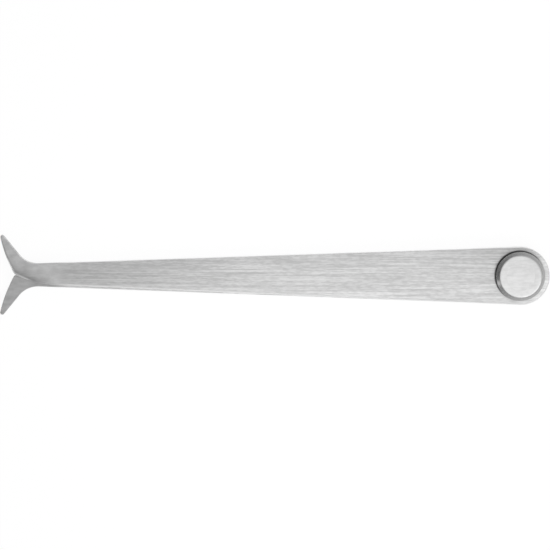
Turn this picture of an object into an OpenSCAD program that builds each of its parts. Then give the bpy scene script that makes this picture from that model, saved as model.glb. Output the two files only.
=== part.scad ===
// Firm-joint inside caliper. Two flat steel legs turn on one rivet, and their hooked feet point
// outwards to touch the walls of a hole. It is drawn closed, lying on the face of its rear disc.
// The joint's axis is the Z axis, the legs reach along -X, and the front foot points to +Y.

/* [Legs] */
// Reach from the joint's axis to the end of the toe
leg_length = 200; // [150:1:300]
// Thickness of each leg
leg_thickness = 2.5; // [2:0.1:4]
// Diameter of the eye that the rivet passes through
eye_diameter = 22.4; // [20:0.1:30]
// How far the eye's rounding lies past the joint's axis, away from the foot
eye_offset = 0.4; // [0:0.1:1]
// From the leg's axis to its toe-side edge, at the neck
neck_toe_side = 4.5; // [3.5:0.1:7]
// From the leg's axis to its heel-side edge, at the neck
neck_heel_side = 3.7; // [3:0.1:7]
// Radius that rounds the edges of the outer faces
edge_radius = 1; // [0.2:0.05:1.2]
// Chamfer that breaks the edges of the inner faces, which the legs turn to each other
inner_chamfer = 0.2; // [0.1:0.05:0.4]

/* [Foot] */
// How far the toe stands out from the leg's axis
toe_reach = 15.4; // [12:0.1:24]
// Radius of the toe's tip, which touches the work
toe_radius = 0.85; // [0.6:0.05:1.5]
// How far the heel corner lies back from the toe's end
heel_setback = 4.9; // [2:0.1:6]
// Radius of the heel corner
heel_corner_radius = 1.5; // [1:0.1:3]
// Radius of the heel's long curve into the leg
heel_radius = 32; // [20:1:50]
// Radius of the gently rounded sole
sole_radius = 60; // [25:1:120]
// How far the instep meets the neck, back from the toe's end
instep_setback = 14.7; // [12.8:0.1:20]
// Radius of the hollow instep between toe and leg
instep_radius = 9.6; // [4:0.1:11]
// Width of the softer rounding at the heel corner
heel_edge_width = 1.3; // [1:0.1:2.4]
// Width of the crisper rounding along the toe's side
toe_edge_width = 0.4; // [0.2:0.05:0.8]

/* [Joint] */
// Diameter of the rivet's shank
rivet_diameter = 8; // [5:0.1:10]
// How far the rivet's closed ends spread past its shank, on the radius
rivet_spread = 1.5; // [0.5:0.1:2]
// How far the eye stands out round the joint discs
eye_margin = 1.8; // [1:0.1:3]
// Width of the bevel round the discs, seen from above
disc_bevel = 1.4; // [0.5:0.1:2]
// Height of each disc over its leg
disc_height = 3.8; // [2.8:0.1:5]
// Height of the upright rim under a disc's bevel
disc_rim_height = 2.4; // [0.2:0.1:3]
// Thickness of the friction washer between the legs
washer_thickness = 0.25; // [0.2:0.05:0.6]
// How far the friction washer's edge lies inside the eye's
washer_margin = 2.2; // [1:0.1:4]

/* [Fits] */
// Running clearance between the rivet and the legs, on the radius
running_clearance = 0.05; // [0.02:0.01:0.1]
// Clearance between the rivet and the discs that it is closed into, on the radius
closing_clearance = 0.02; // [0.01:0.01:0.05]
// Clearance between the turning leg and the faces on either side of it
face_clearance = 0.02; // [0.01:0.01:0.05]

/* [Hidden] */

// Round surfaces, and the largest turn of the leg's outline between two of its points
$fn = 96;
outline_step = 5;
// Steps that round an edge through a quarter turn
edge_steps = 4;
// Most of a corner's radius that the rounding of its edge may use up
edge_share = 0.9;
// Gap under which two discs of the outline count as touching
touch_tolerance = 0.001;

disc_diameter = eye_diameter - 2 * eye_margin;
washer_diameter = eye_diameter - 2 * washer_margin;

// Levels of the stack, from the rear disc's face up
rear_leg_z = disc_height;
washer_z = rear_leg_z + leg_thickness;
front_leg_z = washer_z + washer_thickness + face_clearance;
front_disc_z = front_leg_z + leg_thickness + face_clearance;
stack_height = front_disc_z + disc_height;

// The discs that a leg's outline runs round, each [x, y, radius]. A hollow has a negative radius.
// The heel comes first, because the whole outline can be seen from there.
eye_disc = [eye_offset, 0, eye_diameter / 2];
instep_disc = [instep_setback - leg_length, neck_toe_side + instep_radius, -instep_radius];
toe_disc = [toe_radius - leg_length, toe_reach - toe_radius, toe_radius];
heel_corner_disc = [heel_setback + heel_corner_radius - leg_length, heel_corner_radius, heel_corner_radius];
sole_disc = enclosing_disc(toe_disc, heel_corner_disc, sole_radius);
heel_disc = resting_disc(heel_corner_disc, heel_radius, -neck_heel_side);
leg_discs = [heel_disc, eye_disc, instep_disc, toe_disc, sole_disc, heel_corner_disc];

// Width of the outer edge's rounding where the outline comes onto each of those discs, and where it leaves
toe_edge = min(toe_edge_width, edge_share * toe_radius);
heel_edge = min(heel_edge_width, edge_share * heel_corner_radius);
edge_widths = [
    [heel_edge, edge_radius],
    [edge_radius, toe_edge],
    [toe_edge, toe_edge],
    [toe_edge, toe_edge],
    [toe_edge, heel_edge],
    [heel_edge, heel_edge]
];

function centre(disc) = [disc.x, disc.y];
function radius(disc) = disc.z;
function direction(angle) = [cos(angle), sin(angle)];
function between(low, value, high) = max(low, min(value, high));

// Disc of a given radius that holds two smaller ones and touches both, to the left of the way from a to b
function enclosing_disc(a, b, r) =
    let (
        way = centre(b) - centre(a),
        gap = norm(way),
        from_a = r - radius(a),
        from_b = r - radius(b),
        along = (gap ^ 2 + from_a ^ 2 - from_b ^ 2) / (2 * gap),
        across = sqrt(from_a ^ 2 - along ^ 2),
        forward = way / gap,
        left = [-forward.y, forward.x],
        middle = centre(a) + along * forward + across * left
    )
    [middle.x, middle.y, r];

// Disc of a given radius that holds a smaller one, touches it on the left and comes down to the level y
function resting_disc(held, r, y) =
    let (
        rise = y + r - held.y,
        run = sqrt((r - radius(held)) ^ 2 - rise ^ 2)
    )
    [held.x + run, y + r, r];

// Direction out of the outline along the straight run from one disc to the next
function run_normal(a, b) =
    let (way = centre(b) - centre(a))
    atan2(way.y, way.x) - acos(between(-1, (radius(a) - radius(b)) / norm(way), 1));

// Whether two discs touch, so that no straight run lies between them
function touching(a, b) = abs(norm(centre(b) - centre(a)) - abs(radius(b) - radius(a))) < touch_tolerance;

// Turn of the outline on a disc: to the left round a convex one, and to the right in a hollow
function turn(disc, angle_in, angle_out) =
    let (left_turn = (angle_out - angle_in + 720) % 360)
    radius(disc) > 0 ? left_turn : left_turn - 360;

// The leg's outline, drawn in by a share of the outer edge's width and by an even inset
function leg_outline(share, inset) =
    let (count = len(leg_discs))
    [
        for (i = [0:count - 1])
            let (
                last = leg_discs[(i + count - 1) % count],
                disc = leg_discs[i],
                next = leg_discs[(i + 1) % count],
                angle_in = run_normal(last, disc),
                sweep = turn(disc, angle_in, run_normal(disc, next)),
                steps = ceil(abs(sweep) / outline_step)
            )
            for (k = [touching(last, disc) ? 1 : 0:steps])
                let (
                    done = k / steps,
                    width = (1 - done) * edge_widths[i][0] + done * edge_widths[i][1]
                )
                centre(disc) + (radius(disc) - share * width - inset) * direction(angle_in + sweep * done)
    ];

// Levels of a leg from its inner face up, each [share of the outer edge's width, inset, height]
function edge_levels() =
    let (
        r = min(edge_radius, leg_thickness / 2),
        quarter = [for (k = [0:edge_steps]) 90 * k / edge_steps]
    )
    concat(
        [[0, inner_chamfer, 0], [0, 0, inner_chamfer]],
        [for (a = quarter) [1 - cos(a), 0, leg_thickness - r * (1 - sin(a))]]
    );

// Closed solid through a stack of outlines that have the same number of points
module skin(outlines, heights) {
    levels = len(outlines);
    count = len(outlines[0]);
    points = [for (i = [0:levels - 1]) for (p = outlines[i]) [p.x, p.y, heights[i]]];
    walls = [
        for (i = [0:levels - 2])
            for (k = [0:count - 1])
                let (
                    a = i * count + k,
                    b = i * count + (k + 1) % count
                )
                [a, a + count, b + count, b]
    ];
    base = [for (k = [0:count - 1]) k];
    top = [for (k = [count - 1:-1:0]) (levels - 1) * count + k];
    polyhedron(points, concat(walls, [base, top]), convexity = 6);
}

// One leg, lying with its inner face on Z = 0 and its toe towards +Y
module leg() {
    levels = edge_levels();
    bore = rivet_diameter + 2 * running_clearance;
    difference() {
        skin([for (l = levels) leg_outline(l[0], l[1])], [for (l = levels) l[2]]);
        translate([0, 0, -leg_thickness])
            cylinder(d = bore, h = 3 * leg_thickness);
    }
}

// One joint disc, standing on Z = 0. Its hole has a countersink of 90 degrees for the rivet's closed end.
module joint_disc() {
    hole = rivet_diameter / 2 + closing_clearance;
    face = disc_diameter / 2 - disc_bevel;
    rotate_extrude()
        polygon([
            [hole, 0],
            [disc_diameter / 2, 0],
            [disc_diameter / 2, disc_rim_height],
            [face, disc_height],
            [hole + rivet_spread, disc_height],
            [hole, disc_height - rivet_spread]
        ]);
}

module front_leg() {
    color("silver")
        translate([0, 0, front_leg_z])
            leg();
}

module rear_leg() {
    color("silver")
        translate([0, 0, rear_leg_z + leg_thickness])
            rotate([180, 0, 0])
                leg();
}

module front_disc() {
    color("gainsboro")
        translate([0, 0, front_disc_z])
            joint_disc();
}

module rear_disc() {
    color("gainsboro")
        translate([0, 0, disc_height])
            rotate([180, 0, 0])
                joint_disc();
}

// The rivet fills both countersinks and is ground flush with the discs
module rivet() {
    shank = rivet_diameter / 2;
    end = shank + rivet_spread;
    color("gainsboro")
        rotate_extrude()
            polygon([
                [0, 0],
                [end, 0],
                [shank, rivet_spread],
                [shank, stack_height - rivet_spread],
                [end, stack_height],
                [0, stack_height]
            ]);
}

module friction_washer() {
    color("saddlebrown")
        translate([0, 0, washer_z])
            difference() {
                cylinder(d = washer_diameter, h = washer_thickness);
                translate([0, 0, -washer_thickness])
                    cylinder(d = rivet_diameter + 2 * running_clearance, h = 3 * washer_thickness);
            }
}

front_leg();
rear_leg();
front_disc();
rear_disc();
rivet();
friction_washer();
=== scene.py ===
import cmath
import math
from collections import namedtuple

import bmesh
import bpy
from bpy.props import FloatProperty, FloatVectorProperty, PointerProperty
from mathutils import Matrix, Vector


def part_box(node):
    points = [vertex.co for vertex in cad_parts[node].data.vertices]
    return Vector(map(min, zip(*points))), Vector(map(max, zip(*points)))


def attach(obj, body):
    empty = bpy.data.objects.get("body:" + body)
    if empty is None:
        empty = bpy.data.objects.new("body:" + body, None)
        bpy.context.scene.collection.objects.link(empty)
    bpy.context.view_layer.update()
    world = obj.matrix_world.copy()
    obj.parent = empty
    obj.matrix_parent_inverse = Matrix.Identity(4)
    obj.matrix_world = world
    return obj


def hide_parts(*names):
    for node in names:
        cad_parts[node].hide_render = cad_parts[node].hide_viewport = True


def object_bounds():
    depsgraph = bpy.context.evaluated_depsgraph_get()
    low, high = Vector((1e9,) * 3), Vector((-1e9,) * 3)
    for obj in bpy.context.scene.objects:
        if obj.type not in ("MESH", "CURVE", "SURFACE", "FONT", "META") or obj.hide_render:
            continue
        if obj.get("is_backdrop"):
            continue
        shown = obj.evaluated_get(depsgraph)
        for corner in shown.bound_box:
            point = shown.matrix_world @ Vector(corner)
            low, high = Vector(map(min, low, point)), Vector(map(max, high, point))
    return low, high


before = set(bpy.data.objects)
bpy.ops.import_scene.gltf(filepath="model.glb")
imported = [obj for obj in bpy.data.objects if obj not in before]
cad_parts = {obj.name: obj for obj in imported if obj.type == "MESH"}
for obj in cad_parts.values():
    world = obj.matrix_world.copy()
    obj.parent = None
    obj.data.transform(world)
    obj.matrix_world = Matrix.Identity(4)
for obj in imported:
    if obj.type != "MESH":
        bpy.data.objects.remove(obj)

bl_info = {
    "name": "Inside Caliper",
    "version": (1, 0, 0),
    "blender": (4, 5, 0),
    "location": "View3D > Sidebar > Caliper",
    "description": "Builds the ground legs and the riveted joint of an inside caliper, and a stage for it",
    "category": "Add Mesh",
}

CAD_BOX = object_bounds()

# Corners of the solids, which the sizes of the pieces come from
FRONT_LEG_LOW, FRONT_LEG_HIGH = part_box("front_leg")
REAR_LEG_LOW, REAR_LEG_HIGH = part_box("rear_leg")
FRONT_DISC_LOW, FRONT_DISC_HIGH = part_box("front_disc")
REAR_DISC_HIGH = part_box("rear_disc")[1]
RIVET_LOW, RIVET_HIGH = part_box("rivet")
WASHER_LOW, WASHER_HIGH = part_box("friction_washer")

# Fineness of the meshes, in metres and radians
LONGEST_RUN = 0.006
LONGEST_ARC_STEP = 0.0008
LARGEST_TURN = math.radians(6)
EDGE_STEPS = 8
INNER_EDGE_STEPS = 3
CORNER_STEPS = 5
LATHE_STEPS = 160
SHARP_ANGLE = math.radians(35)
# Distances under which two points of an outline, and two vertices of a turned piece, count as one
SAME_PLACE = 1e-5
SAME_VERTEX = 1e-6
# Most of a corner's radius that the rounding of its edge may use up
EDGE_SHARE = 0.9
# How far large faces outweigh small ones in the shading of a smooth edge, where 50 is even
FLAT_WEIGHT = 90

# Vertex attributes: how far out on a rounded edge a point lies, from 0 on the flat to 1, and where it lies
# on its own piece, before the piece is turned over or put in its place
EDGE_ATTRIBUTE = "edge"
PLACE_ATTRIBUTE = "own_place"

# Grinding marks: lengths, heights and depth in metres, the stretch of noise that fills the range from 0
# to 1, and how much of the long scratches and the soft bands is mixed in
DASH_LENGTH, DASH_HEIGHT = 0.003, 0.00036
SCRATCH_LENGTH, SCRATCH_HEIGHT = 0.03, 0.0004
BAND_SIZE = (0.05, 0.0016, 0.0016)
DASH_RANGE = (0.42, 0.58)
MARK_RANGE = (0.36, 0.64)
SCRATCH_MIX = 0.84
BAND_MIX = 0.2
MARK_DEPTH = 0.000008
# How far one row's noise lies from the next's, and how far a row leans, so that upright sides have rows too
ROW_STEP = 7.3
ROW_LEAN = 0.4

# Mottled steel of the foot
MOTTLE_SIZE = (0.004, 0.002, 0.002)
MOTTLE_RANGE = (0.3, 0.7)
# Painted shade along the heel: its depth along the sole, and where it begins to fade, as shares of its own
# sizes
SOLE_SHARE = 0.2
HEEL_SHADE_CORE = 0.25
# Painted light on the heel side, which faces the lamps: where it grows across the leg and towards the foot,
# as shares of half the leg's width and of its length
PAINTED_LIGHT_ACROSS = (-0.55, -0.95)
PAINTED_LIGHT_ALONG = (-0.15, -0.35)
# How quickly the crown of a ground face grows towards a leg's edges
CROWN_POWER = 3.0
# Heights in a leg, as shares of its thickness: the change from outer to inner steel, and the outer face
INNER_HEIGHT = (0.6, 0.4)
OUTER_HEIGHT = (0.9, 1.0)
# Wear of a rounded edge, with a painted highlight on it: where it grows on the way out, and the most of it
WEAR_AND_HIGHLIGHT_RANGE = (0.1, 0.8)
MOST_WEAR_AND_HIGHLIGHT = 0.9
# Dark pits: distance between their places, radius, share of places without one, and share of the radius
# that is all dark
SPECK_SPACING, SPECK_RADIUS, SPECK_RARITY, SPECK_CORE = 0.009, 0.00035, 0.9, 0.4

# Ground faces of the discs and the rivet, clouded under their marks
CLOUD_SIZE = (0.004, 0.0022, 0.0022)
CLOUD_RANGE = (0.38, 0.62)
CLOUD_MIX = 0.65
# Turned bevel of the discs
TURNING_SIZE = (0.00016, 0.00016, 1.0)
TURNING_RANGE = (0.3, 0.7)
DISC_MARK_DEPTH = 0.000004
# How far roughness strays to either side, on the legs, the feet, the ground faces and the bevels
LEG_STRAY, FOOT_STRAY, FACE_STRAY, BEVEL_STRAY = 0.05, 0.04, 0.03, 0.04

# Fibre of the washer: sizes and depth in metres, shades of the colour, and roughness
FIBRE_LENGTH, FIBRE_WIDTH, FIBRE_DEPTH = 0.0015, 0.0002, 0.00001
FIBRE_CLOUD_SIZE = (0.003, 0.003, 0.003)
FIBRE_DARK, FIBRE_LIGHT, FIBRE_BRIGHT = 0.75, 1.2, 1.6
FIBRE_BRIGHT_RANGE = (0.5, 0.75)
FIBRE_ROUGH_RANGE = (0.4, 0.8)
FIBRE_ROUGHNESS = (0.85, 0.65)

# Stage: colours with alpha, and the heights between which the low light passes into the light overhead
WHITE = (1.0, 1.0, 1.0, 1.0)
FLOOR_COLOUR = (0.95, 0.95, 0.95, 1.0)
LOW_LIGHT_RANGE = (0.05, 0.35)


# Sizes and colours that a user may change

def length(name, description, default):
    """A size in metres."""
    return FloatProperty(
        name=name, description=description, default=default, min=0.0, precision=5, unit="LENGTH"
    )


def share(name, description, default):
    """A number from 0 to 1."""
    return FloatProperty(
        name=name, description=description, default=default, min=0.0, max=1.0, subtype="FACTOR"
    )


def strength(name, description, default):
    """A strength of light."""
    return FloatProperty(name=name, description=description, default=default, min=0.0)


def power(name, description, default):
    """A lamp's power in watts."""
    return FloatProperty(name=name, description=description, default=default, min=0.0, unit="POWER")


def angle(name, description, default):
    """An angle, given in degrees."""
    return FloatProperty(name=name, description=description, default=math.radians(default), subtype="ANGLE")


def colour(name, description, default):
    """A linear colour."""
    return FloatVectorProperty(
        name=name, description=description, default=default, size=3, min=0.0, max=1.0, subtype="COLOR"
    )


def grey(name, description, level):
    """A linear colour without a tint."""
    return colour(name, description, (level, level, level))


class CaliperLegs(bpy.types.PropertyGroup):
    """Sizes of a leg, which both legs share"""

    length: length("Length", "Reach from the joint's axis to the end of the toe", -FRONT_LEG_LOW.x)
    thickness: length("Thickness", "Thickness of a leg", FRONT_LEG_HIGH.z - FRONT_LEG_LOW.z)
    eye_diameter: length("Eye", "Diameter of the eye that the rivet passes through", 0.0224)
    eye_offset: length("Eye offset", "How far the eye's rounding lies past the joint's axis", 0.0004)
    bore_diameter: length("Bore", "Diameter of the hole in the eye", 0.0081)
    neck_toe_side: length("Neck, toe side", "From the leg's axis to its toe-side edge, at the neck", 0.0045)
    neck_heel_side: length(
        "Neck, heel side", "From the leg's axis to its heel-side edge, at the neck", 0.0037
    )
    edge_radius: length("Edge radius", "Radius that rounds the edges of a leg's outer face", 0.001)
    inner_edge: length("Inner edge", "Radius that breaks the edges of a leg's inner face", 0.0002)
    toe_reach: length("Toe reach", "How far the toe stands out from the leg's axis", FRONT_LEG_HIGH.y)
    toe_radius: length("Toe radius", "Radius of the toe's tip", 0.00085)
    heel_setback: length("Heel setback", "How far the heel corner lies back from the toe's end", 0.0049)
    heel_corner_radius: length("Heel corner", "Radius of the heel corner", 0.0015)
    heel_radius: length("Heel radius", "Radius of the heel's long curve into the leg", 0.032)
    sole_radius: length("Sole radius", "Radius of the gently rounded sole", 0.06)
    instep_setback: length(
        "Instep setback", "How far the instep meets the neck, back from the toe's end", 0.0147
    )
    instep_radius: length("Instep radius", "Radius of the hollow instep", 0.0096)
    heel_edge_width: length("Heel edge", "Width of the softer rounding at the heel corner", 0.0013)
    toe_edge_width: length("Toe edge", "Width of the crisper rounding along the toe's side", 0.0004)


class CaliperJoint(bpy.types.PropertyGroup):
    """Sizes of the discs, the rivet and the washer"""

    disc_diameter: length("Disc", "Diameter of a joint disc", 2 * FRONT_DISC_HIGH.x)
    disc_height: length(
        "Disc height", "Height of a disc over its leg", FRONT_DISC_HIGH.z - FRONT_DISC_LOW.z
    )
    disc_bevel: length("Disc bevel", "Width of the bevel round a disc, seen from above", 0.0014)
    disc_rim_height: length("Disc rim", "Height of the upright rim under a disc's bevel", 0.0024)
    face_edge: length("Face edge", "Radius of the worn edge between a disc's face and its bevel", 0.0008)
    rim_edge: length("Rim edge", "Radius of the edge between a disc's bevel and its rim", 0.0002)
    foot_edge: length("Foot edge", "Radius of the broken edge round the foot of a disc", 0.00015)
    disc_hole: length("Disc hole", "Diameter of the hole in a disc", 0.00804)
    rivet_diameter: length("Rivet", "Diameter of the rivet's shank", 0.008)
    rivet_end: length("Rivet end", "Diameter of the rivet's closed ends", 2 * RIVET_HIGH.x)
    washer_diameter: length("Washer", "Diameter of the friction washer", 2 * WASHER_HIGH.x)
    washer_hole: length("Washer hole", "Diameter of the hole in the washer", 0.0081)
    washer_edge: length("Washer edge", "Radius of the worn edges of the washer", 0.00006)


class CaliperFinish(bpy.types.PropertyGroup):
    """Colours and roughness of the finishes"""

    leg_colour: grey("Leg", "Steel of the legs, ground lengthwise", 0.62)
    # Painted light: the end of the eye and the heel side are lighter, as they face the lamps
    painted_light_colour: grey(
        "Polished", "Steel that handling has polished, on the eye and the heel side", 0.74
    )
    foot_colour: grey("Foot", "Steel of the feet, rubbed smooth by hand", 0.64)
    # Painted shade along the heel and the sole near the heel corner
    heel_shade_colour: grey("Dressed heel", "Darker steel along the heel, dressed by hand", 0.34)
    # Darker steel of the inner faces, which the rear foot shows
    inner_colour: grey("Inner face", "Duller steel of the faces that the legs turn to each other", 0.56)
    # Painted light: lightens the inner faces along the shank, so the rear leg's strip beside the front leg
    # loses its shade
    lit_inner_colour: grey("Slid face", "Brighter steel of the inner faces, where the legs slide", 0.74)
    # Lighter rounded edges: partly handling, partly a painted highlight, which is strongest as a line by
    # the heel corner
    wear_and_highlight_colour: grey("Worn edge", "Steel that handling has brightened along the edges", 0.95)
    speck_colour: colour("Speck", "Small dark pits in the steel", (0.16, 0.15, 0.15))
    disc_colour: grey("Disc", "Brighter steel of the discs and the rivet's ends", 0.7)
    bevel_colour: grey("Bevel", "Turned steel of the bevel round a disc", 0.5)
    # Painted shade: the dark corner round a disc's foot and up its lower rim, standing for the shade there
    painted_shade_colour: grey("Grime", "Old oil in the corner round the foot of a disc", 0.07)
    fibre_colour: colour("Fibre", "Vulcanised fibre of the friction washer", (0.26, 0.11, 0.06))
    streak_contrast: share("Streak contrast", "How far the grinding marks stray from the colour", 0.11)
    foot_contrast: share("Foot contrast", "How far the mottled feet stray from their colour", 0.12)
    heel_shade_contrast: share("Dressed contrast", "How far the dressed heel strays from its colour", 0.2)
    inner_contrast: share("Inner contrast", "How far the dull inner faces stray from their colour", 0.1)
    bevel_contrast: share("Bevel contrast", "How far the turning marks stray from the bevel's colour", 0.1)
    leg_roughness: share("Leg roughness", "Roughness of the ground legs", 0.52)
    foot_roughness: share("Foot roughness", "Roughness of the feet", 0.52)
    disc_roughness: share("Disc roughness", "Roughness of a disc's ground face", 0.36)
    bevel_roughness: share("Bevel roughness", "Roughness of a disc's turned bevel", 0.24)
    leg_grain: share("Leg grain", "How far the grinding marks stretch reflections", 0.6)
    crown: angle("Crown", "Slope of the crowned ground face at a leg's edges", 13)
    foot_zone: length("Foot zone", "Length of the smooth zone at the end of a leg", 0.019)
    foot_fade: length("Foot fade", "Length over which the grinding marks fade out towards the foot", 0.009)
    heel_shade_depth: length("Dressed depth", "How far the darker steel reaches in from the heel", 0.004)
    heel_shade_length: length(
        "Dressed length", "How far the darker steel reaches along from the heel corner", 0.016
    )
    # Reach of the painted highlight line along the heel from its corner
    highlight_reach: length("Worn reach", "How far the bright wear reaches along from the heel corner", 0.004)
    # Painted shade on a disc's rim and round it on the leg; its ring on the leg lies off to one side as the
    # disc's painted shadow
    painted_shade_height: length("Grime height", "How far the grime climbs up the rim of a disc", 0.0013)
    painted_shade_width: length("Grime width", "How far the grime spreads on the leg round a disc", 0.00055)
    painted_shadow_shift: length(
        "Grime shift", "How far the ring of grime on a leg lies off the disc's middle", 0.0003
    )
    painted_shadow_way: angle("Grime way", "Direction in which that ring lies off, on a leg's outer face", 132)


class CaliperStage(bpy.types.PropertyGroup):
    """The camera, the light and the floor"""

    view_width: length("View width", "Width of the picture at the top of the front leg", 0.2114)
    view_centre: length("View centre", "From the joint's axis to the middle of the picture", 0.09449)
    view_side: length(
        "View side", "How far the middle of the picture lies to the front toe's side", 0.00025
    )
    camera_distance: length("Camera distance", "From the camera to the front leg", 2.0)
    camera_tilt: angle(
        "Camera tilt", "Lean of the camera from straight above, to the front toe's side", 3.5
    )
    camera_slant: angle("Camera slant", "Lean of the camera from straight above, towards the feet", 2.5)
    camera_roll: angle("Camera roll", "Turn of the camera about its own axis", 0.26)
    strip_height: length("Strip height", "Height of the strip lamp over the floor", 0.15)
    strip_width: length("Strip width", "Width of the strip lamp, along the legs", 0.14)
    strip_length: length("Strip length", "Length of the strip lamp, across the legs", 0.4)
    strip_setback: length(
        "Strip setback", "How far the strip lamp hangs from the joint's axis, towards the feet", 0.072
    )
    strip_power: power("Strip power", "Power of the strip lamp", 0.09)
    fill_height: length("Fill height", "Height of the fill lamp over the floor", 0.2)
    fill_side: length("Fill side", "Side of the square fill lamp", 0.14)
    fill_reach: length(
        "Fill reach", "How far the fill lamp stands past the joint, away from the feet", 0.07
    )
    fill_distance: length("Fill distance", "How far the fill lamp stands to the side of the rear toe", 0.1)
    fill_power: power("Fill power", "Power of the fill lamp", 0.09)
    bright_way: angle("Bright way", "Direction of the brighter side overhead, from +X towards +Y", -32)
    overhead_bright: strength(
        "Overhead, bright side", "Light of the room from above, on the bright side", 1.0
    )
    overhead_dark: strength("Overhead, dark side", "Light of the room from above, on the dark side", 0.3)
    low_way: angle("Low way", "Direction of the brighter side at the level of the floor", 60)
    bright_side: strength("Bright side", "Light from the level of the floor, where it is brightest", 0.45)
    dark_side: strength("Dark side", "Light from the level of the floor, where it is darkest", 0.03)
    low_falloff: strength("Low falloff", "How steeply the light from the level of the floor falls off", 3.0)
    window_way: angle("Window way", "Direction of a low window, from +X towards +Y", 202)
    window_width: angle("Window width", "From the window's middle to where its light ends", 9)
    window_light: strength("Window light", "Light of the low window", 1.6)
    floor_size: length("Floor size", "Side of the square floor", 12.0)
    floor_glow: share("Floor glow", "Share of the floor's white that shadows don't darken", 0.9)
    floor_light: strength("Floor light", "Strength of that white, which makes up for the duller rest", 1.03)


# Flat outlines. A point in a plane is a complex number.

Arc = namedtuple("Arc", "centre radius edge_in edge_out")
OutlinePoint = namedtuple("OutlinePoint", "place outward edge_width")


def unit(way):
    """The direction of a way in the plane."""
    return way / abs(way)


def enclosing_centre(a, b, radius):
    """Centre of an arc that holds two smaller ones and touches both, to the left of the way from a to b."""
    way = b.centre - a.centre
    from_a, from_b = radius - a.radius, radius - b.radius
    along = (abs(way) ** 2 + from_a ** 2 - from_b ** 2) / (2 * abs(way))
    across = math.sqrt(from_a ** 2 - along ** 2)
    return a.centre + unit(way) * complex(along, across)


def resting_centre(held, radius, level):
    """Centre of an arc that holds a smaller one, touches it on the left and comes down to a level."""
    rise = level + radius - held.centre.imag
    run = math.sqrt((radius - held.radius) ** 2 - rise ** 2)
    return held.centre + complex(run, rise)


def leg_arcs(legs):
    """The arcs that a leg's outline runs round, to the left. A hollow one has a negative radius."""
    edge = legs.edge_radius
    toe_edge = min(legs.toe_edge_width, EDGE_SHARE * legs.toe_radius)
    heel_edge = min(legs.heel_edge_width, EDGE_SHARE * legs.heel_corner_radius)
    toe_place = complex(legs.toe_radius - legs.length, legs.toe_reach - legs.toe_radius)
    corner_setback = legs.heel_setback + legs.heel_corner_radius
    corner_place = complex(corner_setback - legs.length, legs.heel_corner_radius)
    instep_place = complex(legs.instep_setback - legs.length, legs.neck_toe_side + legs.instep_radius)
    eye = Arc(complex(legs.eye_offset, 0), legs.eye_diameter / 2, edge, toe_edge)
    instep = Arc(instep_place, -legs.instep_radius, toe_edge, toe_edge)
    toe = Arc(toe_place, legs.toe_radius, toe_edge, toe_edge)
    corner = Arc(corner_place, legs.heel_corner_radius, heel_edge, heel_edge)
    sole = Arc(enclosing_centre(toe, corner, legs.sole_radius), legs.sole_radius, toe_edge, heel_edge)
    heel_place = resting_centre(corner, legs.heel_radius, -legs.neck_heel_side)
    heel = Arc(heel_place, legs.heel_radius, heel_edge, edge)
    return [heel, eye, instep, toe, sole, corner]


def run_angle(a, b):
    """Angle of the direction out of the outline, along the straight run from one arc to the next."""
    way = b.centre - a.centre
    lean = max(-1.0, min((a.radius - b.radius) / abs(way), 1.0))
    return cmath.phase(way) - math.acos(lean)


def mix(a, b, done):
    """The value that lies a share of the way from a to b."""
    return a + (b - a) * done


def arc_points(before, arc, after):
    """Points along one arc of an outline."""
    angle_in = run_angle(before, arc)
    sweep = (run_angle(arc, after) - angle_in) % math.tau
    if arc.radius < 0:
        sweep -= math.tau
    steps = math.ceil(max(abs(sweep) / LARGEST_TURN, abs(sweep * arc.radius) / LONGEST_ARC_STEP))
    for k in range(steps + 1):
        outward = cmath.rect(1, angle_in + sweep * k / steps)
        yield OutlinePoint(
            arc.centre + arc.radius * outward, outward, mix(arc.edge_in, arc.edge_out, k / steps)
        )


def run_points(a, b):
    """Points between two others, along a straight run."""
    steps = math.ceil(abs(b.place - a.place) / LONGEST_RUN)
    for k in range(1, steps):
        yield OutlinePoint(*(mix(start, end, k / steps) for start, end in zip(a, b)))


def leg_outline(legs):
    """Points round a leg, with the direction out of it and the width of its edge's rounding."""
    arcs = leg_arcs(legs)
    outline = []
    for i, arc in enumerate(arcs):
        for point in arc_points(arcs[i - 1], arc, arcs[(i + 1) % len(arcs)]):
            if not outline:
                outline.append(point)
            elif abs(point.place - outline[-1].place) > SAME_PLACE:
                outline.extend(run_points(outline[-1], point))
                outline.append(point)
    if abs(outline[-1].place - outline[0].place) < SAME_PLACE:
        outline.pop()
    return outline


def rounded(corners):
    """Closed profile through corners, each given with the radius of the arc that rounds it."""
    profile = []
    for i, (corner, radius) in enumerate(corners):
        before = unit(corners[i - 1][0] - corner)
        after = unit(corners[(i + 1) % len(corners)][0] - corner)
        if radius == 0:
            profile.append(corner)
            continue
        half = abs(cmath.phase(after / before)) / 2
        centre = corner + unit(before + after) * radius / math.sin(half)
        start = corner + before * radius / math.tan(half) - centre
        end = corner + after * radius / math.tan(half) - centre
        sweep = cmath.phase(end / start)
        for k in range(CORNER_STEPS + 1):
            profile.append(centre + start * cmath.rect(1, sweep * k / CORNER_STEPS))
    return profile


# Meshes

def loop_pairs(ring):
    """Each member of a closed ring with the next."""
    return zip(ring, ring[1:] + ring[:1])


def bridge(bm, lower, upper):
    """Quads between two rings of as many vertices."""
    for (a, b), (c, d) in zip(loop_pairs(lower), loop_pairs(upper)):
        bm.faces.new((a, b, d, c))


def ring_edges(bm, ring):
    """The edges between the vertices of a closed ring."""
    return [bm.edges.get(pair) or bm.edges.new(pair) for pair in loop_pairs(ring)]


def quarter_turn(steps):
    """Angles through a quarter turn."""
    return [math.pi / 2 * k / steps for k in range(steps + 1)]


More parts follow.
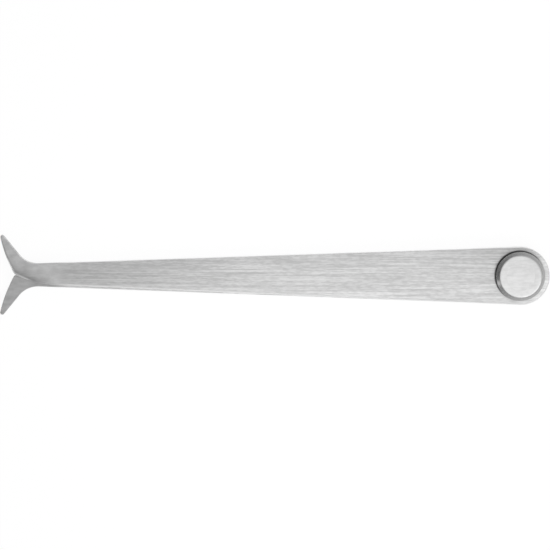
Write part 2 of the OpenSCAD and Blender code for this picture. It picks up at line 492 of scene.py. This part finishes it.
def edge_levels(legs):
    """Rings of a leg from below up: shares of the outer and the inner rounding, and a height."""
    levels = []
    for a in quarter_turn(INNER_EDGE_STEPS):
        levels.append((0, 1 - math.sin(a), legs.inner_edge * (1 - math.cos(a))))
    for a in quarter_turn(EDGE_STEPS):
        levels.append((1 - math.cos(a), 0, legs.thickness - legs.edge_radius * (1 - math.sin(a))))
    return levels


def finished_mesh(bm, name):
    """A smooth mesh from a bmesh, sharp only where its faces meet at an angle."""
    place_layer = bm.verts.layers.float_vector.new(PLACE_ATTRIBUTE)
    for vert in bm.verts:
        vert[place_layer] = vert.co
    bmesh.ops.recalc_face_normals(bm, faces=bm.faces)
    mesh = bpy.data.meshes.new(name)
    bm.to_mesh(mesh)
    bm.free()
    mesh.shade_smooth()
    mesh.set_sharp_from_angle(angle=SHARP_ANGLE)
    return mesh


def leg_mesh(name, legs):
    """A leg with rounded edges and a bored eye, its inner face on Z = 0 and its toe towards +Y."""
    bm = bmesh.new()
    edge_layer = bm.verts.layers.float.new(EDGE_ATTRIBUTE)
    outline = leg_outline(legs)
    rings = []
    for outer, inner, height in edge_levels(legs):
        places = [p.place - (outer * p.edge_width + inner * legs.inner_edge) * p.outward for p in outline]
        rings.append([bm.verts.new((place.real, place.imag, height)) for place in places])
        for vert in rings[-1]:
            vert[edge_layer] = 1 - outer - inner
    bore = [cmath.rect(legs.bore_diameter / 2, math.tau * k / LATHE_STEPS) for k in range(LATHE_STEPS)]
    bores = [[bm.verts.new((p.real, p.imag, height)) for p in bore] for height in (0, legs.thickness)]
    for lower, upper in zip(rings, rings[1:]):
        bridge(bm, lower, upper)
    bridge(bm, *bores)
    for ring, hole in ((rings[0], bores[0]), (rings[-1], bores[1])):
        edges = ring_edges(bm, ring) + ring_edges(bm, hole)
        bmesh.ops.triangle_fill(bm, use_beauty=True, edges=edges)
    return finished_mesh(bm, name)


def lathed_mesh(name, profile):
    """A turned piece from a closed profile, whose points are radius and height."""
    bm = bmesh.new()
    verts = [bm.verts.new((p.real, 0, p.imag)) for p in profile]
    on_axis = {v for v in verts if v.co.x < SAME_PLACE}
    edges = [bm.edges.new(pair) for pair in loop_pairs(verts) if not on_axis.issuperset(pair)]
    bmesh.ops.spin(
        bm, geom=verts + edges, cent=(0, 0, 0), axis=(0, 0, 1), dvec=(0, 0, 0), angle=math.tau,
        steps=LATHE_STEPS, use_merge=True,
    )
    bmesh.ops.remove_doubles(bm, verts=bm.verts, dist=SAME_VERTEX)
    return finished_mesh(bm, name)


def disc_profile(joint):
    """A joint disc standing on Z = 0, with a countersink of 90 degrees for the rivet's closed end."""
    hole = joint.disc_hole / 2
    rim = joint.disc_diameter / 2
    spread = (joint.rivet_end - joint.rivet_diameter) / 2
    return rounded([
        (complex(hole, 0), 0),
        (complex(rim, 0), joint.foot_edge),
        (complex(rim, joint.disc_rim_height), joint.rim_edge),
        (complex(rim - joint.disc_bevel, joint.disc_height), joint.face_edge),
        (complex(hole + spread, joint.disc_height), 0),
        (complex(hole, joint.disc_height - spread), 0),
    ])


def rivet_profile(joint, height):
    """The rivet, which fills both countersinks and is ground flush with the discs."""
    shank = joint.rivet_diameter / 2
    end = joint.rivet_end / 2
    spread = end - shank
    return [
        complex(0, 0),
        complex(end, 0),
        complex(shank, spread),
        complex(shank, height - spread),
        complex(end, height),
        complex(0, height),
    ]


def washer_profile(joint, height):
    """The friction washer, standing on Z = 0."""
    hole, rim = joint.washer_hole / 2, joint.washer_diameter / 2
    return rounded([
        (complex(hole, 0), 0),
        (complex(rim, 0), joint.washer_edge),
        (complex(rim, height), joint.washer_edge),
        (complex(hole, height), 0),
    ])


def turned_over(top):
    """Turns a piece that stands on Z = 0 upside down, so that it hangs from a level."""
    return Matrix.Translation((0, 0, top)) @ Matrix.Rotation(math.pi, 4, "X")


def add_piece(name, mesh, material, body, node):
    """Puts a mesh in the scene in place of a node, on the node's body."""
    mesh.materials.append(material)
    piece = bpy.data.objects.new(name, mesh)
    bpy.context.scene.collection.objects.link(piece)
    normals = piece.modifiers.new("flat faces stay flat", "WEIGHTED_NORMAL")
    normals.mode = "FACE_AREA"
    normals.weight = FLAT_WEIGHT
    normals.keep_sharp = True
    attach(piece, body)
    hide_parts(node)


# Finishes

class Nodes:
    """A node tree, with short ways to add the nodes that the finishes and the stage share."""

    def __init__(self, owner):
        owner.use_nodes = True
        self.tree = owner.node_tree
        self.tree.nodes.clear()

    def add(self, kind, inputs=None, **settings):
        """Adds a node. An input that is a socket is linked, and any other is set."""
        node = self.tree.nodes.new(kind)
        for name, value in settings.items():
            setattr(node, name, value)
        for name, value in (inputs or {}).items():
            if isinstance(value, bpy.types.NodeSocket):
                self.tree.links.new(value, node.inputs[name])
            else:
                node.inputs[name].default_value = value
        return node

    def place(self):
        """Where a point lies on its own piece, in metres."""
        return self.add("ShaderNodeAttribute", attribute_name=PLACE_ATTRIBUTE).outputs["Vector"]

    def axes(self, vector):
        """X, Y and Z of a vector."""
        return self.add("ShaderNodeSeparateXYZ", {"Vector": vector}).outputs

    def edge(self):
        """How far out on a rounded edge a point lies."""
        return self.add("ShaderNodeAttribute", attribute_name=EDGE_ATTRIBUTE).outputs["Fac"]

    def distance(self, place, centre=0j):
        """Distance from an upright axis through a point of the plane."""
        flat = self.vectors("MULTIPLY", place, (1.0, 1.0, 0.0))["Vector"]
        return self.vectors("DISTANCE", flat, (centre.real, centre.imag, 0.0))["Value"]

    def vectors(self, operation, a, b):
        """Arithmetic on two vectors, as the outputs of its node."""
        return self.add("ShaderNodeVectorMath", {0: a, 1: b}, operation=operation).outputs

    def math(self, operation, a, b=0.0):
        """Arithmetic on two values."""
        return self.add("ShaderNodeMath", {0: a, 1: b}, operation=operation).outputs[0]

    def spread(self, value, low, high, to_low=0.0, to_high=1.0, smooth=False):
        """Takes values from low to high to a new range, and holds them there."""
        inputs = {"Value": value, "From Min": low, "From Max": high, "To Min": to_low, "To Max": to_high}
        kind = "SMOOTHSTEP" if smooth else "LINEAR"
        return self.add("ShaderNodeMapRange", inputs, interpolation_type=kind).outputs["Result"]

    def blend(self, factor, a, b):
        """Mixes two colours."""
        return self.add("ShaderNodeMix", {0: factor, 6: a, 7: b}, data_type="RGBA").outputs[2]

    def blend_values(self, factor, a, b):
        """Mixes two numbers."""
        return self.add("ShaderNodeMix", {0: factor, 2: a, 3: b}).outputs[0]

    def shades(self, factor, colour, contrast):
        """A colour that grows lighter with a factor, and strays from its middle by a contrast."""
        return self.blend(factor, shade(colour, 1 - contrast), shade(colour, 1 + contrast))

    def sheen(self, factor, roughness, stray, low=0.0, high=1.0):
        """A roughness that grows smoother as a factor goes from low to high."""
        return self.spread(factor, low, high, roughness + stray, roughness - stray)

    def noise(self, place, size, detail=2.0, roughness=0.5):
        """Noise whose marks have a size along each axis, in metres."""
        scale = [1 / s for s in size]
        stretched = self.add("ShaderNodeMapping", {"Vector": place, "Scale": scale}).outputs["Vector"]
        inputs = {"Vector": stretched, "Scale": 1.0, "Detail": detail, "Roughness": roughness}
        return self.add("ShaderNodeTexNoise", inputs).outputs["Fac"]

    def dashes(self, place, length, height):
        """Straight marks along X, in rows that each have their own."""
        x, y, z = self.axes(place)
        level = self.math("ADD", y, self.math("MULTIPLY", z, ROW_LEAN))
        row = self.math("FLOOR", self.math("DIVIDE", level, height))
        own = {"X": self.math("DIVIDE", x, length), "Y": self.math("MULTIPLY", row, ROW_STEP)}
        place = self.add("ShaderNodeCombineXYZ", own).outputs[0]
        return self.add("ShaderNodeTexNoise", {"Vector": place, "Scale": 1.0, "Detail": 1.0}).outputs["Fac"]

    def specks(self, place, spacing, radius, rarity):
        """Small round spots, in a few of the cells of an uneven grid."""
        cells = self.add("ShaderNodeTexVoronoi", {"Vector": place, "Scale": 1 / spacing}, feature="F1")
        chosen = self.math("GREATER_THAN", self.axes(cells.outputs["Color"])[0], rarity)
        reach = radius / spacing
        spot = self.spread(cells.outputs["Distance"], reach, SPECK_CORE * reach, smooth=True)
        return self.math("MULTIPLY", chosen, spot)

    def bump(self, height, depth):
        """A bumped normal, from heights from 0 to 1 over a depth in metres."""
        return self.add("ShaderNodeBump", {"Height": height, "Distance": depth}).outputs["Normal"]

    def surface(self, inputs):
        """The material's own shader and its output."""
        shader = self.add("ShaderNodeBsdfPrincipled", inputs)
        self.add("ShaderNodeOutputMaterial", {"Surface": shader.outputs[0]})


def shade(colour, factor):
    """A lighter or darker colour, with alpha."""
    return (*(min(1.0, c * factor) for c in colour), 1.0)


def streaked(nodes, place):
    """Grinding marks along X, from 0 to 1: short dashes, long scratches and soft bands."""
    dashes = nodes.spread(nodes.dashes(place, DASH_LENGTH, DASH_HEIGHT), *DASH_RANGE)
    scratches = nodes.dashes(place, SCRATCH_LENGTH, SCRATCH_HEIGHT)
    bands = nodes.noise(place, BAND_SIZE)
    fine = nodes.blend_values(SCRATCH_MIX, dashes, scratches)
    return nodes.spread(nodes.blend_values(BAND_MIX, fine, bands), *MARK_RANGE)


def painted_heel_shade(nodes, place, legs, finish):
    """1 along the heel and the sole near the heel corner, where shade is painted, and 0 further in or
    along.
    """
    heel, *_, sole, corner = leg_arcs(legs)
    bands = []
    for arc, depth in ((heel, finish.heel_shade_depth), (sole, SOLE_SHARE * finish.heel_shade_depth)):
        inward = nodes.math("SUBTRACT", arc.radius, nodes.distance(place, arc.centre))
        bands.append(nodes.spread(inward, depth, 0.0, smooth=True))
    near_edge = nodes.math("MAXIMUM", *bands)
    reach = finish.heel_shade_length
    from_corner = nodes.distance(place, corner.centre)
    near_corner = nodes.spread(from_corner, reach, HEEL_SHADE_CORE * reach, smooth=True)
    return nodes.math("MULTIPLY", near_edge, near_corner)


def half_width(nodes, along, legs):
    """Half the width of a leg at a place along it, between the neck and the eye."""
    neck = (legs.neck_toe_side + legs.neck_heel_side) / 2
    return nodes.spread(along, -legs.length, 0.0, neck, legs.eye_diameter / 2)


def painted_light_zone(nodes, place, legs, joint):
    """1 at the end of the eye and along the heel side of the leg, the lit side, where light is painted on.
    """
    along, across, _ = nodes.axes(place)
    eye_end = nodes.spread(along, 0.0, joint.disc_diameter / 2, smooth=True)
    out = nodes.math("DIVIDE", across, half_width(nodes, along, legs))
    side = nodes.spread(out, *PAINTED_LIGHT_ACROSS, smooth=True)
    stretch = nodes.spread(along, *(part * legs.length for part in PAINTED_LIGHT_ALONG), smooth=True)
    return nodes.math("MAXIMUM", eye_end, nodes.math("MULTIPLY", side, stretch))


def crown(nodes, place, foot, legs, finish):
    """Height of a leg's ground face, in metres: slightly crowned across the leg, and flat at the foot."""
    along, across, _ = nodes.axes(place)
    half = half_width(nodes, along, legs)
    out = nodes.math("ABSOLUTE", nodes.math("DIVIDE", across, half))
    fall = nodes.math("MULTIPLY", nodes.math("POWER", out, CROWN_POWER), half)
    ground = nodes.spread(foot, 1.0, 0.0, 0.0, -math.tan(finish.crown) / CROWN_POWER)
    return nodes.math("MULTIPLY", fall, ground)


def leg_steel(legs, joint, finish):
    """Steel ground lengthwise, rubbed smooth at the foot, darker inside, with painted light and shade."""
    material = bpy.data.materials.new("ground_leg_steel")
    nodes = Nodes(material)
    place = nodes.place()
    along, _, height = nodes.axes(place)
    marks = streaked(nodes, place)
    mottle = nodes.spread(nodes.noise(place, MOTTLE_SIZE, detail=4.0), *MOTTLE_RANGE)
    foot_start = finish.foot_zone - legs.length
    foot = nodes.spread(along, foot_start + finish.foot_fade, foot_start, smooth=True)
    inner = nodes.spread(height, *(part * legs.thickness for part in INNER_HEIGHT))
    outer = nodes.spread(height, *(part * legs.thickness for part in OUTER_HEIGHT))
    speck = nodes.specks(place, SPECK_SPACING, SPECK_RADIUS, SPECK_RARITY)
    rim = joint.disc_diameter / 2
    # Painted shade round the disc on the outer face, shifted away from the light as the disc's painted
    # shadow
    painted_shadow_middle = cmath.rect(finish.painted_shadow_shift, finish.painted_shadow_way)
    painted_shade = nodes.spread(nodes.distance(place, painted_shadow_middle), rim + finish.painted_shade_width, rim, smooth=True)

    # Steel of the outer face and the sides, from the plain ground leg to the foot and the heel
    ground = nodes.shades(marks, finish.leg_colour, finish.streak_contrast)
    # Lighter copy of the ground steel: painted light on the eye's end and the heel side
    lightened = nodes.shades(marks, finish.painted_light_colour, finish.streak_contrast)
    lit_ground = nodes.blend(painted_light_zone(nodes, place, legs, joint), ground, lightened)
    rubbed = nodes.shades(mottle, finish.foot_colour, finish.foot_contrast)
    footed = nodes.blend(foot, lit_ground, rubbed)
    # Darker copy of the ground steel: painted shade along the heel and the sole near the corner
    shaded = nodes.shades(marks, finish.heel_shade_colour, finish.heel_shade_contrast)
    heel_shaded = nodes.blend(painted_heel_shade(nodes, place, legs, finish), footed, shaded)

    # Steel of the inner face: painted light along the shank, which lifts the shade beside the other leg
    lit_inner = nodes.shades(marks, finish.lit_inner_colour, finish.streak_contrast)
    # Darker steel of the inner face at the foot
    dull = nodes.shades(mottle, finish.inner_colour, finish.inner_contrast)
    steel = nodes.blend(inner, heel_shaded, nodes.blend(foot, lit_inner, dull))

    # Edges brightened by handling and by a painted highlight, dark pits, and painted shade round the disc
    # A painted highlight line by the heel corner, and lighter rounded edges along the rest of the leg,
    # partly handling and partly painted highlight
    corner = leg_arcs(legs)[-1].centre
    reach = finish.highlight_reach
    highlight_corner = nodes.spread(nodes.distance(place, corner), 2 * reach, reach, smooth=True)
    wear_and_highlight_stretch = nodes.math("MAXIMUM", highlight_corner, nodes.math("SUBTRACT", 1.0, foot))
    edge_wear_and_highlight = nodes.spread(nodes.edge(), *WEAR_AND_HIGHLIGHT_RANGE, 0.0, MOST_WEAR_AND_HIGHLIGHT, smooth=True)
    wear_and_highlight = nodes.math("MULTIPLY", edge_wear_and_highlight, wear_and_highlight_stretch)
    worn = nodes.blend(wear_and_highlight, steel, shade(finish.wear_and_highlight_colour, 1))
    pitted = nodes.blend(speck, worn, shade(finish.speck_colour, 1))
    tint = nodes.blend(nodes.math("MULTIPLY", painted_shade, outer), pitted, shade(finish.painted_shade_colour, 1))

    grain = nodes.math("MULTIPLY", nodes.blend_values(foot, marks, mottle), MARK_DEPTH)
    ground_roughness = nodes.sheen(marks, finish.leg_roughness, LEG_STRAY)
    rubbed_roughness = nodes.sheen(mottle, finish.foot_roughness, FOOT_STRAY)
    nodes.surface({
        "Base Color": tint,
        "Metallic": 1.0,
        "Roughness": nodes.blend_values(foot, ground_roughness, rubbed_roughness),
        "Anisotropic": finish.leg_grain,
        "Tangent": nodes.add("ShaderNodeTangent", direction_type="RADIAL", axis="X").outputs[0],
        "Normal": nodes.bump(nodes.math("ADD", crown(nodes, place, foot, legs, finish), grain), 1.0),
    })
    return material


def ground_face(nodes, place, finish):
    """Colour, roughness and marks of a face that was ground flush after the rivet was closed."""
    cloud = nodes.spread(nodes.noise(place, CLOUD_SIZE, detail=4.0, roughness=0.6), *CLOUD_RANGE)
    marks = nodes.blend_values(CLOUD_MIX, streaked(nodes, place), cloud)
    tint = nodes.shades(marks, finish.disc_colour, finish.streak_contrast)
    return tint, nodes.sheen(marks, finish.disc_roughness, FACE_STRAY), marks


def disc_steel(joint, finish):
    """A disc's steel: a ground face, a bevel with fine turning marks, and painted shade up the foot of its
    rim.
    """
    material = bpy.data.materials.new("turned_disc_steel")
    nodes = Nodes(material)
    place = nodes.place()
    tint, roughness, marks = ground_face(nodes, place, finish)
    radius = nodes.distance(place)
    height = nodes.axes(place)[2]
    along = nodes.add("ShaderNodeCombineXYZ", {"X": radius, "Y": height}).outputs[0]
    turning = nodes.noise(along, TURNING_SIZE)
    face = joint.disc_diameter / 2 - joint.disc_bevel
    bevel = nodes.spread(radius, face - joint.face_edge / 2, face + joint.face_edge / 2)
    # Painted shade up the lower rim, darkest where the rim meets the leg
    painted_shade = nodes.spread(height, finish.painted_shade_height, finish.painted_shade_height / 2, smooth=True)

    turned = nodes.shades(turning, finish.bevel_colour, finish.bevel_contrast)
    shaded_rim = nodes.blend(painted_shade, turned, shade(finish.painted_shade_colour, 1))
    turned_roughness = nodes.sheen(turning, finish.bevel_roughness, BEVEL_STRAY, *TURNING_RANGE)
    nodes.surface({
        "Base Color": nodes.blend(bevel, tint, shaded_rim),
        "Metallic": 1.0,
        "Roughness": nodes.blend_values(bevel, roughness, turned_roughness),
        "Normal": nodes.bump(nodes.blend_values(bevel, marks, turning), DISC_MARK_DEPTH),
    })
    return material


def rivet_steel(finish):
    """The rivet's steel, ground together with the faces of the discs."""
    material = bpy.data.materials.new("flush_rivet_steel")
    nodes = Nodes(material)
    tint, roughness, marks = ground_face(nodes, nodes.place(), finish)
    nodes.surface({
        "Base Color": tint,
        "Metallic": 1.0,
        "Roughness": roughness,
        "Normal": nodes.bump(marks, DISC_MARK_DEPTH),
    })
    return material


def washer_fibre(finish):
    """Dull brown fibre, with short fibres pressed into it in every direction."""
    material = bpy.data.materials.new("vulcanised_fibre")
    nodes = Nodes(material)
    place = nodes.place()
    fibres = nodes.math(
        "MAXIMUM",
        nodes.noise(place, (FIBRE_LENGTH, FIBRE_WIDTH, FIBRE_WIDTH)),
        nodes.noise(place, (FIBRE_WIDTH, FIBRE_LENGTH, FIBRE_WIDTH)),
    )
    cloud = nodes.noise(place, FIBRE_CLOUD_SIZE, detail=3.0)
    brown = finish.fibre_colour
    clouded = nodes.blend(cloud, shade(brown, FIBRE_DARK), shade(brown, FIBRE_LIGHT))
    tint = nodes.blend(nodes.spread(fibres, *FIBRE_BRIGHT_RANGE), clouded, shade(brown, FIBRE_BRIGHT))
    nodes.surface({
        "Base Color": tint,
        "Roughness": nodes.spread(fibres, *FIBRE_ROUGH_RANGE, *FIBRE_ROUGHNESS),
        "Normal": nodes.bump(fibres, FIBRE_DEPTH),
    })
    return material


# Stage

def seen_directly(nodes):
    """1 for a ray that shows the stage, also in a reflection, and 0 for one that lights something."""
    path = nodes.add("ShaderNodeLightPath").outputs
    mirrored = nodes.math("MAXIMUM", path["Is Glossy Ray"], path["Is Transmission Ray"])
    return nodes.math("MAXIMUM", path["Is Camera Ray"], mirrored)


def floor_white(stage):
    """A white floor that keeps a pale shadow, and that can be seen through from below."""
    material = bpy.data.materials.new("floor_white")
    nodes = Nodes(material)
    matt = nodes.add("ShaderNodeBsdfDiffuse", {"Color": FLOOR_COLOUR}).outputs[0]
    glow = nodes.add("ShaderNodeEmission", {"Color": WHITE, "Strength": stage.floor_light}).outputs[0]
    share_of_glow = nodes.math("MULTIPLY", seen_directly(nodes), stage.floor_glow)
    top = nodes.add("ShaderNodeMixShader", {0: share_of_glow, 1: matt, 2: glow}).outputs[0]
    clear = nodes.add("ShaderNodeBsdfTransparent").outputs[0]
    below = nodes.add("ShaderNodeNewGeometry").outputs["Backfacing"]
    sides = nodes.add("ShaderNodeMixShader", {0: below, 1: top, 2: clear}).outputs[0]
    nodes.add("ShaderNodeOutputMaterial", {"Surface": sides})
    return material


def lay_floor(stage, legs, joint):
    """A wide floor, touched by the edge of the rear disc's face and by the rear foot."""
    bm = bmesh.new()
    bmesh.ops.create_grid(bm, x_segments=1, y_segments=1, size=stage.floor_size / 2)
    mesh = bpy.data.meshes.new("floor")
    bm.to_mesh(mesh)
    bm.free()
    mesh.materials.append(floor_white(stage))
    floor = bpy.data.objects.new("floor", mesh)
    bpy.context.scene.collection.objects.link(floor)
    disc_edge = joint.disc_diameter / 2 - joint.disc_bevel
    floor.location = (-disc_edge, 0, RIVET_LOW.z)
    floor.rotation_euler.y = math.atan2(REAR_LEG_LOW.z - RIVET_LOW.z, legs.length - disc_edge)
    floor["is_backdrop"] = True


def hang_lamp(name, width, length, power, place, target):
    """A soft lamp that shines on a point of the floor."""
    light = bpy.data.lights.new(name, "AREA")
    light.shape = "RECTANGLE"
    light.size = width
    light.size_y = length
    light.energy = power
    lamp = bpy.data.objects.new(name, light)
    bpy.context.scene.collection.objects.link(lamp)
    lamp.location = place
    lamp.rotation_euler = (Vector(target) - Vector(place)).to_track_quat("-Z", "Y").to_euler()


def hang_lamps(stage):
    """A strip lamp that hangs across the legs, and a fill lamp beside the joint."""
    hang_lamp(
        "strip_lamp", stage.strip_width, stage.strip_length, stage.strip_power,
        (-stage.strip_setback, 0, stage.strip_height), (-stage.strip_setback, 0, 0),
    )
    hang_lamp(
        "fill_lamp", stage.fill_side, stage.fill_side, stage.fill_power,
        (stage.fill_reach, -stage.fill_distance, stage.fill_height), (0, 0, 0),
    )


def lean_towards(nodes, way, azimuth):
    """How far a direction leans towards a side of the room, from -1 to 1."""
    ahead = (math.cos(azimuth), math.sin(azimuth), 0.0)
    return nodes.vectors("DOT_PRODUCT", way, ahead)["Value"]


def light_room(stage):
    """A pale room with a brighter side overhead, another at the level of the floor, and a low window."""
    world = bpy.data.worlds.new("studio")
    bpy.context.scene.world = world
    nodes = Nodes(world)
    way = nodes.add("ShaderNodeTexCoord").outputs["Generated"]
    bright_lean = lean_towards(nodes, way, stage.bright_way)
    above = nodes.spread(bright_lean, -1.0, 1.0, stage.overhead_dark, stage.overhead_bright)
    low_lean = nodes.spread(lean_towards(nodes, way, stage.low_way), -1.0, 1.0)
    low_side = nodes.math("POWER", low_lean, stage.low_falloff)
    low = nodes.blend_values(low_side, stage.dark_side, stage.bright_side)
    window_lean = lean_towards(nodes, way, stage.window_way)
    dark, full = math.cos(stage.window_width), math.cos(stage.window_width / 2)
    window = nodes.spread(window_lean, dark, full, 0.0, stage.window_light, smooth=True)
    height = nodes.spread(nodes.axes(way)[2], *LOW_LIGHT_RANGE, smooth=True)
    level = nodes.math("ADD", nodes.blend_values(height, low, above), window)
    background = nodes.add("ShaderNodeBackground", {"Color": WHITE, "Strength": level})
    nodes.add("ShaderNodeOutputWorld", {"Surface": background.outputs[0]})


def set_camera(stage):
    """A long lens almost straight above the legs."""
    data = bpy.data.cameras.new("camera")
    data.lens = data.sensor_width * stage.camera_distance / stage.view_width
    camera = bpy.data.objects.new("camera", data)
    bpy.context.scene.collection.objects.link(camera)
    target = Vector((-stage.view_centre, stage.view_side, FRONT_LEG_HIGH.z))
    lean = Matrix.Rotation(-stage.camera_slant, 4, "Y") @ Matrix.Rotation(-stage.camera_tilt, 4, "X")
    roll = Matrix.Rotation(stage.camera_roll, 4, "Z")
    back = Matrix.Translation((0, 0, stage.camera_distance))
    camera.matrix_world = Matrix.Translation(target) @ lean @ roll @ back
    bpy.context.scene.camera = camera


# Operators

class CALIPER_OT_grind_legs(bpy.types.Operator):
    """Grind the front leg, and the rear leg, which is the same piece turned over"""

    bl_idname = "caliper.grind_legs"
    bl_label = "Grind Legs"

    def execute(self, context):
        legs = context.scene.caliper_legs
        steel = leg_steel(legs, context.scene.caliper_joint, context.scene.caliper_finish)
        front = leg_mesh("ground_front_leg", legs)
        front.transform(Matrix.Translation((0, 0, FRONT_LEG_LOW.z)))
        add_piece("ground_front_leg", front, steel, "front", "front_leg")
        rear = leg_mesh("ground_rear_leg", legs)
        rear.transform(turned_over(REAR_LEG_HIGH.z))
        add_piece("ground_rear_leg", rear, steel, "rear", "rear_leg")
        return {"FINISHED"}


class CALIPER_OT_turn_discs(bpy.types.Operator):
    """Turn the joint disc over the front leg, and the like one under the rear leg"""

    bl_idname = "caliper.turn_discs"
    bl_label = "Turn Discs"

    def execute(self, context):
        joint = context.scene.caliper_joint
        steel = disc_steel(joint, context.scene.caliper_finish)
        front = lathed_mesh("turned_front_disc", disc_profile(joint))
        front.transform(Matrix.Translation((0, 0, FRONT_DISC_LOW.z)))
        add_piece("turned_front_disc", front, steel, "rear", "front_disc")
        rear = lathed_mesh("turned_rear_disc", disc_profile(joint))
        rear.transform(turned_over(REAR_DISC_HIGH.z))
        add_piece("turned_rear_disc", rear, steel, "rear", "rear_disc")
        return {"FINISHED"}


class CALIPER_OT_close_rivet(bpy.types.Operator):
    """Close the rivet into both discs"""

    bl_idname = "caliper.close_rivet"
    bl_label = "Close Rivet"

    def execute(self, context):
        joint = context.scene.caliper_joint
        mesh = lathed_mesh("flush_rivet", rivet_profile(joint, RIVET_HIGH.z - RIVET_LOW.z))
        mesh.transform(Matrix.Translation((0, 0, RIVET_LOW.z)))
        steel = rivet_steel(context.scene.caliper_finish)
        add_piece("flush_rivet", mesh, steel, "rear", "rivet")
        return {"FINISHED"}


class CALIPER_OT_cut_washer(bpy.types.Operator):
    """Cut the friction washer that lies between the legs"""

    bl_idname = "caliper.cut_washer"
    bl_label = "Cut Washer"

    def execute(self, context):
        joint = context.scene.caliper_joint
        mesh = lathed_mesh("fibre_washer", washer_profile(joint, WASHER_HIGH.z - WASHER_LOW.z))
        mesh.transform(Matrix.Translation((0, 0, WASHER_LOW.z)))
        fibre = washer_fibre(context.scene.caliper_finish)
        add_piece("fibre_washer", mesh, fibre, "rear", "friction_washer")
        return {"FINISHED"}


class CALIPER_OT_set_stage(bpy.types.Operator):
    """Lay the floor, light the room and set the camera"""

    bl_idname = "caliper.set_stage"
    bl_label = "Set Stage"

    def execute(self, context):
        scene = context.scene
        scene.view_settings.view_transform = "Standard"
        lay_floor(scene.caliper_stage, scene.caliper_legs, scene.caliper_joint)
        hang_lamps(scene.caliper_stage)
        light_room(scene.caliper_stage)
        set_camera(scene.caliper_stage)
        return {"FINISHED"}


class CALIPER_PT_build(bpy.types.Panel):
    """The caliper's steps and sizes"""

    bl_idname = "CALIPER_PT_build"
    bl_label = "Inside Caliper"
    bl_space_type = "VIEW_3D"
    bl_region_type = "UI"
    bl_category = "Caliper"

    def draw(self, context):
        for operator in OPERATORS:
            self.layout.operator(operator.bl_idname)
        for name in GROUPS:
            group = getattr(context.scene, name)
            box = self.layout.box()
            for size in group.__annotations__:
                box.prop(group, size)


GROUPS = {
    "caliper_legs": CaliperLegs,
    "caliper_joint": CaliperJoint,
    "caliper_finish": CaliperFinish,
    "caliper_stage": CaliperStage,
}
OPERATORS = (
    CALIPER_OT_grind_legs,
    CALIPER_OT_turn_discs,
    CALIPER_OT_close_rivet,
    CALIPER_OT_cut_washer,
    CALIPER_OT_set_stage,
)


def register():
    for cls in (*GROUPS.values(), *OPERATORS, CALIPER_PT_build):
        bpy.utils.register_class(cls)
    for name, group in GROUPS.items():
        setattr(bpy.types.Scene, name, PointerProperty(type=group))


def unregister():
    for name in GROUPS:
        delattr(bpy.types.Scene, name)
    for cls in (CALIPER_PT_build, *reversed(OPERATORS), *reversed(GROUPS.values())):
        bpy.utils.unregister_class(cls)


def write_sizes():
    """Works out the box of the solids and the box of the pieces that stand for them, but keeps neither."""
    boxes = {"cad": CAD_BOX, "visual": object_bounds()}
    {name: [list(corner) for corner in box] for name, box in boxes.items()}


def main():
    register()
    bpy.ops.caliper.grind_legs()
    bpy.ops.caliper.turn_discs()
    bpy.ops.caliper.close_rivet()
    bpy.ops.caliper.cut_washer()
    bpy.ops.caliper.set_stage()
    write_sizes()


if __name__ == "__main__":
    main()
